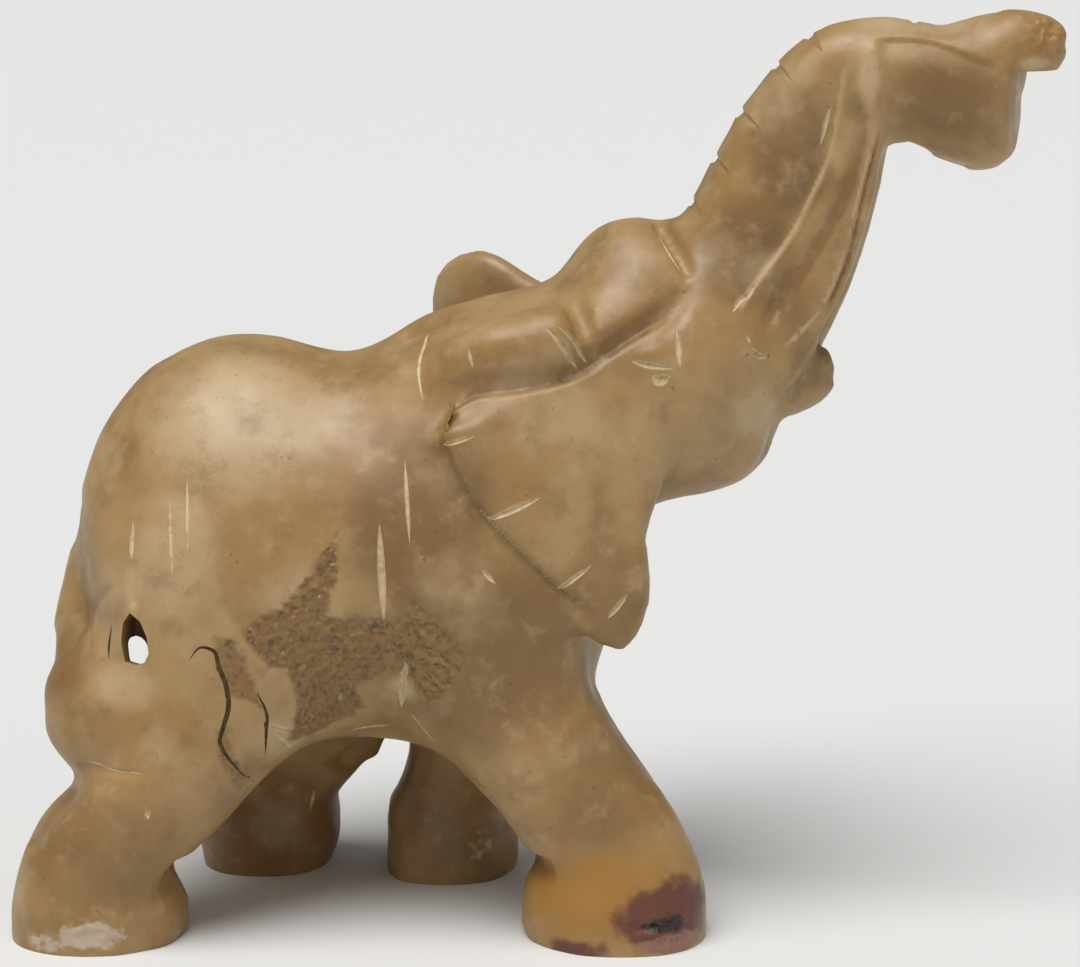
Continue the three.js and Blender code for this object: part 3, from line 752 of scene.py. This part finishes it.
def refine(stone, near):
    """Halves the size of the mesh facets whose corners are all marked."""
    mesh = stone.data
    select_only(stone)
    mesh.vertices.foreach_set("select", near)
    ends = np.empty(len(mesh.edges) * 2, np.int32)
    mesh.edges.foreach_get("vertices", ends)
    mesh.edges.foreach_set("select", near[ends.reshape(-1, 2)].all(1))
    corners = np.empty(len(mesh.loops), np.int32)
    mesh.loops.foreach_get("vertex_index", corners)
    starts = np.empty(len(mesh.polygons), np.int32)
    mesh.polygons.foreach_get("loop_start", starts)
    mesh.polygons.foreach_set("select", np.logical_and.reduceat(near[corners], starts))
    bpy.ops.object.mode_set(mode="EDIT")
    bpy.ops.mesh.subdivide(number_cuts=1)
    bpy.ops.object.mode_set(mode="OBJECT")


def press(stone, depths, **relief):
    """Presses the stone in by these depths in millimetres, one for each vertex, or builds it up."""
    for way in (1, -1):
        here = np.clip(depths * way, 0, None)
        deepest = float(here.max())
        if deepest < 1e-6:
            continue
        group = stone.vertex_groups.new(name="press")
        shares = here / deepest
        for i in np.flatnonzero(shares > 0.002):
            group.add([int(i)], float(shares[i]), "REPLACE")
        values = {"mid_level": 0.0, "strength": -way * deepest * MM, **relief}
        apply_modifier(stone, "DISPLACE", direction="NORMAL", vertex_group="press", **values)
        stone.vertex_groups.remove(stone.vertex_groups["press"])


def relief_texture(name, grain, contrast, depth=2):
    texture = bpy.data.textures.new(name, "CLOUDS")
    texture.noise_scale = grain * MM
    texture.noise_depth = depth
    texture.contrast = contrast
    return texture


# ---------------------------------------------------------------- the stone


class CARVING_OT_stone(bpy.types.Operator):
    """Carves the stone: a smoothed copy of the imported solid, with its forms, flats and banks"""

    bl_idname = "carving.stone"
    bl_label = "Carve the stone"

    def execute(self, context):
        stone = self.rough_out(context)
        self.smooth(stone, context.scene.carving)
        self.follow(stone, FORMS, 0)
        self.rub(stone, context.scene.carving)
        for flat in FLATS:
            cut_away(stone, block(flat, stone.data.materials[0]))
        self.follow(stone, BANKS, 1)
        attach(stone, "root")
        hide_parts(NODE)
        return {"FINISHED"}

    def rough_out(self, context):
        """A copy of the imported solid, with feet below the ground and a narrower tail hole."""
        stone = bpy.data.objects.new(STONE, frame["nodes"][NODE].data.copy())
        context.scene.collection.objects.link(stone)
        stone.data.materials.clear()
        for name in ("soapstone", "fresh_cut", "old_dirt"):
            stone.data.materials.append(bpy.data.materials.new(name))
        select_only(stone)
        bpy.ops.object.mode_set(mode="EDIT")
        bpy.ops.mesh.select_all(action="SELECT")
        bpy.ops.mesh.remove_doubles(threshold=0.01 * MM)
        bpy.ops.object.mode_set(mode="OBJECT")
        for face in stone.data.polygons:
            face.select = face.normal.z < -0.99 and face.center.z < 0.1 * MM
            face.material_index = 0
        bpy.ops.object.mode_set(mode="EDIT")
        bpy.ops.mesh.select_mode(type="FACE")
        bpy.ops.mesh.extrude_region_move(TRANSFORM_OT_translate={"value": (0, 0, -2 * MM)})
        bpy.ops.mesh.select_mode(type="EDGE")
        bpy.ops.mesh.select_all(action="DESELECT")
        bpy.ops.mesh.edges_select_sharp(sharpness=math.radians(42))
        bpy.ops.transform.edge_crease(value=0.6)
        bpy.ops.mesh.select_mode(type="VERT")
        bpy.ops.mesh.select_all(action="SELECT")
        bpy.ops.mesh.tris_convert_to_quads()
        bpy.ops.object.mode_set(mode="OBJECT")
        apply_modifier(stone, "SUBSURF", levels=2, render_levels=2)
        bpy.ops.mesh.primitive_uv_sphere_add(
            segments=24,
            ring_count=12,
            location=Vector(HOLE_MIDDLE) * MM,
            scale=Vector(HOLE_SLEEVE).xzy * MM,
            rotation=(0, 0, math.radians(-24)),
        )
        sleeve = context.object
        sleeve.data.materials.append(stone.data.materials[0])
        select_only(stone, sleeve)
        bpy.ops.object.join()
        return stone

    def smooth(self, stone, settings):
        apply_modifier(stone, "REMESH", mode="VOXEL", voxel_size=settings.facet)
        apply_modifier(stone, "SMOOTH", factor=0.5, iterations=3)

    def rub(self, stone, settings):
        """The slight unevenness of a surface that was rubbed smooth by hand."""
        uneven = relief_texture("rubbed", 6.0, 1.0)
        whole = np.ones(len(stone.data.vertices)) * settings.unevenness / MM
        press(stone, whole, texture=uneven, texture_coords="LOCAL", mid_level=0.5)

    def follow(self, stone, strokes, finer):
        """Presses the stone in along strokes, after making the mesh finer under them."""
        for _ in range(finer):
            ground = Ground(stone)
            near = ground.nothing()
            for stroke in strokes:
                near = np.maximum(near, ground.stroke(stroke, spread=0.8))
            refine(stone, near > 0.01)
        ground = Ground(stone)
        depths = ground.nothing()
        for stroke in strokes:
            depth = stroke.depth * ground.stroke(stroke)
            depths = np.where(np.abs(depth) > np.abs(depths), depth, depths)
        press(stone, depths)
        apply_modifier(stone, "SMOOTH", factor=0.5, iterations=1)


def block(flat, material):
    """A block that stands with its face on a flat that is to be cut."""
    facing = Vector(flat.facing).normalized()
    bpy.ops.mesh.primitive_cube_add(
        size=1,
        location=(Vector(flat.at) + facing * BLOCK_THICKNESS / 2) * MM,
        rotation=facing.to_track_quat("Z", "Y").to_euler(),
        scale=Vector((2 * flat.half_width, 2 * flat.half_height, BLOCK_THICKNESS)) * MM,
    )
    tool = bpy.context.object
    tool.data.materials.append(material)
    return tool


class CARVING_OT_weather(bpy.types.Operator):
    """Pits the weathered patches, and roughens the broken places"""

    bl_idname = "carving.weather"
    bl_label = "Weathered patches"

    def execute(self, context):
        stone = find_stone()
        for _ in range(2):
            ground = Ground(stone)
            near = ground.nothing()
            for patch in PATCHES:
                near = np.maximum(near, ground.patch(patch, 0.8))
            for zone in ROUGH:
                near = np.maximum(near, ground.zone(zone))
            refine(stone, near > 0)
        pits = relief_texture("pits", 0.8, 2.4, 3)
        breaks = relief_texture("breaks", 1.6, 2.0, 3)
        ground = Ground(stone)
        sunk, pitted, broken = ground.nothing(), ground.nothing(), ground.nothing()
        for patch in PATCHES:
            share = ground.patch(patch, 0.5)
            sunk = np.maximum(sunk, share * patch.sunk)
            pitted = np.maximum(pitted, share * patch.pitted)
        for zone in ROUGH:
            broken = np.maximum(broken, ground.zone(zone))
        press(stone, sunk)
        press(stone, pitted, texture=pits, texture_coords="LOCAL", mid_level=0.45)
        press(stone, broken, texture=breaks, texture_coords="LOCAL", mid_level=0.4)
        self.stand(stone)
        return {"FINISHED"}

    def stand(self, stone):
        """Cuts the feet flat where they meet the ground."""
        select_only(stone)
        bpy.ops.object.mode_set(mode="EDIT")
        bpy.ops.mesh.select_all(action="SELECT")
        bpy.ops.mesh.bisect(
            plane_co=(0, 0, 0),
            plane_no=(0, 0, 1),
            clear_inner=True,
            use_fill=True,
            threshold=0.001 * MM,
        )
        bpy.ops.object.mode_set(mode="OBJECT")


class CARVING_OT_cuts(bpy.types.Operator):
    """Cuts the tail hole, the notches, the scratches and the cracks"""

    bl_idname = "carving.cuts"
    bl_label = "Notches, scratches and cracks"

    def execute(self, context):
        stone = find_stone()
        plain, fresh, dirt = stone.data.materials
        scale = context.scene.carving.cut_scale
        cut_away(stone, hole_drill(plain))
        ground = Ground(stone)
        tools = [blade(cut, ground, scale, plain) for cut in NOTCHES]
        tools += [blade(cut, ground, scale, fresh) for cut in SCRATCHES]
        tools += [blade(cut, ground, scale, dirt) for cut in CRACKS]
        for tool in tools:
            cut_away(stone, tool)
        self.clean(stone)
        bpy.ops.object.shade_smooth_by_angle(angle=math.radians(38))
        return {"FINISHED"}

    def clean(self, stone):
        """Merges the slivers that the blades leave, and drops what they cut loose."""
        select_only(stone)
        bpy.ops.object.mode_set(mode="EDIT")
        bpy.ops.mesh.select_mode(type="VERT")
        bpy.ops.mesh.select_all(action="SELECT")
        bpy.ops.mesh.remove_doubles(threshold=SLIVER)
        bpy.ops.mesh.select_all(action="SELECT")
        bpy.ops.mesh.dissolve_degenerate(threshold=SLIVER)
        bpy.ops.mesh.select_all(action="DESELECT")
        bpy.ops.mesh.select_non_manifold()
        bpy.ops.mesh.delete(type="VERT")
        bpy.ops.mesh.select_non_manifold()
        bpy.ops.mesh.fill_holes(sides=0)
        bpy.ops.mesh.select_all(action="DESELECT")
        bpy.ops.object.mode_set(mode="OBJECT")
        highest = max(stone.data.vertices, key=lambda vertex: vertex.co.z)
        highest.select = True
        bpy.ops.object.mode_set(mode="EDIT")
        bpy.ops.mesh.select_linked()
        bpy.ops.mesh.select_all(action="INVERT")
        bpy.ops.mesh.delete(type="VERT")
        bpy.ops.object.mode_set(mode="OBJECT")


def hole_drill(material):
    """A bar with the outline of the tail hole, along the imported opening."""
    bpy.ops.mesh.primitive_circle_add(vertices=len(HOLE_OUTLINE), fill_type="NGON")
    drill = bpy.context.object
    for vertex, (across, up) in zip(drill.data.vertices, HOLE_OUTLINE):
        vertex.co = (across * MM, 0, up * MM)
    bpy.ops.object.mode_set(mode="EDIT")
    bpy.ops.mesh.select_all(action="SELECT")
    bpy.ops.mesh.extrude_region_move(TRANSFORM_OT_translate={"value": (0, DRILL_LENGTH * MM, 0)})
    bpy.ops.mesh.select_all(action="SELECT")
    bpy.ops.mesh.normals_make_consistent(inside=False)
    bpy.ops.object.mode_set(mode="OBJECT")
    drill.rotation_euler = (-0.2, 0, -0.1)
    drill.location = (Vector(HOLE_MIDDLE) + Vector((0.0, -4.5, 1.0))) * MM
    drill.data.materials.append(material)
    return drill


def blade(cut, ground, scale, material):
    """A thin tool along the stone that narrows to both ends, sunk in it by the cut's depth."""
    width, depth = cut.width * scale, cut.depth * scale
    radius = (width * width / 4 + depth * depth) / (2 * depth)
    line = smooth_line(cut.points, 8 if len(cut.points) == 2 else 5)
    bpy.ops.curve.primitive_nurbs_path_add()
    tool = bpy.context.object
    tool.location = (0, 0, 0)
    tool.data.splines.clear()
    spline = tool.data.splines.new("POLY")
    spline.points.add(len(line) - 1)
    for i, spot in enumerate(line):
        place, normal = ground.under(spot)
        taper = max(0.1, math.sin(math.pi * i / (len(line) - 1)) ** 0.7)
        centre = place + normal * (radius - depth) * taper
        spline.points[i].co = (*(centre * MM), 1)
        spline.points[i].radius = taper
    tool.data.bevel_depth = radius * MM
    tool.data.bevel_resolution = 1
    tool.data.use_fill_caps = True
    select_only(tool)
    bpy.ops.object.convert(target="MESH")
    bpy.ops.object.mode_set(mode="EDIT")
    bpy.ops.mesh.select_all(action="SELECT")
    bpy.ops.mesh.remove_doubles(threshold=0.002 * MM)
    bpy.ops.object.mode_set(mode="OBJECT")
    tool = bpy.context.object
    tool.data.materials.clear()
    tool.data.materials.append(material)
    return tool


# ---------------------------------------------------------------- the finish


class CARVING_OT_finish(bpy.types.Operator):
    """Lays on the colours of the stone and polishes it"""

    bl_idname = "carving.finish"
    bl_label = "Colour and polish"

    def execute(self, context):
        stone = find_stone()
        self.lay_tints(stone)
        colours = context.scene.stone
        plain, fresh, dirt = stone.data.materials
        polished_stone(plain, colours)
        bare_stone(fresh, colours.cut, colours.pale, 0.55)
        bare_stone(dirt, colours.dirt, colours.brown, 0.8)
        return {"FINISHED"}

    def lay_tints(self, stone):
        """Keeps how strongly each tint shows at each vertex."""
        ground = Ground(stone)
        tints = {name: ground.nothing() for name in TINTS}
        for zone in TINTED:
            tints[zone.tint] = np.maximum(tints[zone.tint], ground.zone(zone))
        # Painted shade in hollows and painted highlights along edges
        for stroke in PAINTED_SHADE_AND_HIGHLIGHTS:
            share = ground.stroke(stroke) * stroke.strength
            tints[stroke.tint] = np.maximum(tints[stroke.tint], share)
        for patch in PATCHES:
            tints["rust"] = np.maximum(tints["rust"], ground.patch(patch, 1.6))
        for name, shares in tints.items():
            layer = stone.data.attributes.new(name, "FLOAT", "POINT")
            layer.data.foreach_set("value", shares.astype(np.float32))


class Painter:
    """Adds the nodes of one material."""

    def __init__(self, material):
        material.use_nodes = True
        self.tree = material.node_tree
        self.shader = self.tree.nodes["Principled BSDF"]
        self.place = self.tree.nodes.new("ShaderNodeTexCoord").outputs["Object"]

    def set(self, socket, value):
        if isinstance(value, bpy.types.NodeSocket):
            self.tree.links.new(value, socket)
        elif socket.type == "RGBA":
            socket.default_value = (*value, 1)
        else:
            socket.default_value = value

    def finish(self, **values):
        for name, value in values.items():
            self.set(self.shader.inputs[name.replace("_", " ").title()], value)

    def maths(self, operation, *values):
        node = self.tree.nodes.new("ShaderNodeMath")
        node.operation = operation
        for socket, value in zip(node.inputs, values):
            self.set(socket, value)
        return node.outputs[0]

    def ramp(self, value, low, high, bottom=0.0, top=1.0):
        """Carries low to high over to bottom to top, smoothly."""
        node = self.tree.nodes.new("ShaderNodeMapRange")
        node.interpolation_type = "SMOOTHSTEP"
        limits = {"From Min": low, "From Max": high, "To Min": bottom, "To Max": top}
        for name, limit in limits.items():
            node.inputs[name].default_value = limit
        self.set(node.inputs["Value"], value)
        return node.outputs["Result"]

    def noise(self, size, detail=4.0, shift=0.0, roughness=0.55):
        """Noise of this size in millimetres, around 0.5."""
        node = self.tree.nodes.new("ShaderNodeTexNoise")
        node.noise_dimensions = "4D"
        node.inputs["W"].default_value = shift
        node.inputs["Scale"].default_value = 1 / (size * MM)
        node.inputs["Detail"].default_value = detail
        node.inputs["Roughness"].default_value = roughness
        self.set(node.inputs["Vector"], self.place)
        return node.outputs["Fac"]

    def over(self, below, above, share):
        """One colour laid over another."""
        mix = self.tree.nodes.new("ShaderNodeMix")
        mix.data_type = "RGBA"
        self.set(mix.inputs["Factor"], share)
        self.set(mix.inputs[6], below)
        self.set(mix.inputs[7], above)
        return mix.outputs[2]

    def tint(self, name, grain, ragged, low, high):
        """The share of a tint, its edge broken up by noise of this grain in millimetres."""
        layer = self.tree.nodes.new("ShaderNodeAttribute")
        layer.attribute_name = name
        strength = layer.outputs["Fac"]
        broken = self.maths("MULTIPLY_ADD", self.noise(grain, shift=len(name)), ragged, -ragged / 2)
        edge = self.maths("MULTIPLY", broken, self.ramp(strength, 0.0, 0.1))
        return self.ramp(self.maths("ADD", strength, edge), low, high)

    def bump(self, height, distance, strength=1.0):
        node = self.tree.nodes.new("ShaderNodeBump")
        node.inputs["Strength"].default_value = strength
        node.inputs["Distance"].default_value = distance * MM
        self.set(node.inputs["Height"], height)
        return node.outputs["Normal"]


def polished_stone(material, colours):
    """Clouded, translucent stone under a worn polish, with tints laid on by place, painted shade and
    painted light among them.
    """
    paint = Painter(material)
    colour = paint.over(colours.olive, colours.honey, paint.ramp(paint.noise(24), 0.40, 0.62))
    colour = paint.over(colour, colours.brown, paint.ramp(paint.noise(9, shift=7), 0.46, 0.75, 0, 0.8))
    colour = paint.over(colour, colours.honey, paint.tint("honey", 8, 0.9, 0.2, 1.0))
    # The brown tint: partly the stone's own brown, partly painted shade in hollows, in the ear's
    # shadow and on the far legs
    colour = paint.over(colour, colours.brown, paint.tint("brown", 6, 0.9, 0.0, 1.0))
    # The pale tint: partly the stone's own paler colour, partly painted light from above and painted
    # highlights along edges
    colour = paint.over(colour, colours.pale, paint.tint("pale", 5, 1.1, 0.0, 1.0))
    colour = paint.over(colour, colours.pale, paint.ramp(paint.noise(13, shift=3), 0.50, 0.72, 0, 0.7))
    mottle = paint.ramp(paint.noise(3.4, 5.0, 17, 0.65), 0.50, 0.75, 0, 0.55)
    colour = paint.over(colour, colours.pale, mottle)
    veins = paint.ramp(paint.noise(4.5, 6.0, 23, 0.7), 0.50, 0.68, 0, 0.45)
    colour = paint.over(colour, colours.brown, veins)
    specks = paint.ramp(paint.noise(0.7, 2.0, 11), 0.68, 0.76, 0, 0.6)
    colour = paint.over(colour, colours.dirt, specks)
    pits = paint.ramp(paint.noise(1.2, 3.0, 5, 0.7), 0.54, 0.66, 0, 0.75)
    rust = paint.over(colours.rust, colours.dirt, pits)
    rust = paint.over(rust, colours.honey, paint.ramp(paint.noise(2.0, 3.0, 9), 0.56, 0.7, 0, 0.7))
    rust = paint.over(rust, colours.cut, paint.ramp(paint.noise(0.8, 3.0, 2), 0.68, 0.74, 0, 0.8))
    colour = paint.over(colour, rust, paint.tint("rust", 1.6, 1.1, 0.30, 0.70))
    colour = paint.over(colour, colours.ochre, paint.tint("ochre", 3.5, 1.2, 0.1, 1.0))
    colour = paint.over(colour, colours.mauve, paint.tint("mauve", 2.6, 1.4, 0.25, 0.75))
    colour = paint.over(colour, colours.plum, paint.tint("plum", 1.6, 1.3, 0.35, 0.7))
    # Painted shade in the cavity of the fore foot
    colour = paint.over(colour, colours.soot, paint.tint("soot", 1.3, 1.5, 0.40, 0.75))
    colour = paint.over(colour, colours.chalk, paint.tint("chalk", 1.2, 1.6, 0.5, 0.85))
    paint.finish(
        base_color=colour,
        roughness=paint.ramp(paint.noise(4, shift=13), 0.3, 0.7, 0.38, 0.56),
        normal=paint.bump(paint.noise(0.5, 3.0, 19), 0.05, 0.5),
        coat_weight=0.1,
        coat_roughness=0.3,
        subsurface_weight=0.2,
        subsurface_radius=(1.0, 0.6, 0.3),
        subsurface_scale=2.0 * MM,
    )


def bare_stone(material, ground, clouds, roughness):
    """Unpolished stone, as in a cut or a crack."""
    paint = Painter(material)
    colour = paint.over(ground, clouds, paint.ramp(paint.noise(0.8, 3.0), 0.4, 0.7))
    paint.finish(base_color=colour, roughness=roughness, subsurface_weight=0.1, subsurface_scale=MM)


# ---------------------------------------------------------------- the stage


class CARVING_OT_stage(bpy.types.Operator):
    """Sets the camera, the soft lights and a plain pale floor"""

    bl_idname = "carving.stage"
    bl_label = "Camera, lights and floor"

    def execute(self, context):
        settings = context.scene.stage
        target = Vector((0.8, -1.65, 52)) * MM
        elevation = math.radians(11)
        bpy.ops.object.camera_add()
        camera = context.object
        camera.data.sensor_width = 36
        camera.data.lens = 113.3
        away = Vector((0, -math.cos(elevation), math.sin(elevation)))
        camera.location = target + away * settings.distance
        camera.rotation_euler = (math.pi / 2 - elevation, 0, 0)
        context.scene.camera = camera

        bpy.ops.mesh.primitive_plane_add(size=12)
        floor = context.object
        floor.name = "floor"
        paint = bpy.data.materials.new("floor")
        paint.use_nodes = True
        matt = paint.node_tree.nodes["Principled BSDF"]
        matt.inputs["Base Color"].default_value = (*settings.floor_colour, 1)
        matt.inputs["Roughness"].default_value = 0.9
        floor.data.materials.append(paint)

        lights = (
            ("key", (-0.18, -0.34, 0.92), 45, 3.1),
            ("fill", (0.60, -0.75, 0.28), 70, 0.35),
        )
        for name, towards, spread, power in lights:
            bpy.ops.object.light_add(type="SUN")
            light = context.object
            light.name = name
            light.data.angle = math.radians(spread)
            light.data.energy = power
            light.rotation_euler = Vector(towards).to_track_quat("Z", "Y").to_euler()

        world = bpy.data.worlds.new("studio")
        context.scene.world = world
        world.use_nodes = True
        world.node_tree.nodes["Background"].inputs["Color"].default_value = (1, 1, 1, 1)
        world.node_tree.nodes["Background"].inputs["Strength"].default_value = 0.22
        context.scene.view_settings.view_transform = "Standard"
        return {"FINISHED"}


# ---------------------------------------------------------------- the sidebar


class CARVING_PT_panel(bpy.types.Panel):
    bl_label = "Soapstone elephant"
    bl_space_type = "VIEW_3D"
    bl_region_type = "UI"
    bl_category = "Carving"

    def draw(self, context):
        for group in (context.scene.carving, context.scene.stone, context.scene.stage):
            box = self.layout.box()
            for name in group.bl_rna.properties.keys():
                if name not in ("rna_type", "name"):
                    box.prop(group, name)
        for step in STEPS:
            self.layout.operator(step.bl_idname)


STEPS = (
    CARVING_OT_stone,
    CARVING_OT_weather,
    CARVING_OT_cuts,
    CARVING_OT_finish,
    CARVING_OT_stage,
)
CLASSES = (CarvingSettings, StoneSettings, StageSettings, *STEPS, CARVING_PT_panel)


def register():
    for one in CLASSES:
        bpy.utils.register_class(one)
    bpy.types.Scene.carving = PointerProperty(type=CarvingSettings)
    bpy.types.Scene.stone = PointerProperty(type=StoneSettings)
    bpy.types.Scene.stage = PointerProperty(type=StageSettings)


def unregister():
    for name in ("carving", "stone", "stage"):
        delattr(bpy.types.Scene, name)
    for one in reversed(CLASSES):
        bpy.utils.unregister_class(one)


def main():
    register()
    for step in STEPS:
        group, name = step.bl_idname.split(".")
        getattr(getattr(bpy.ops, group), name)()


if __name__ == "__main__":
    main()
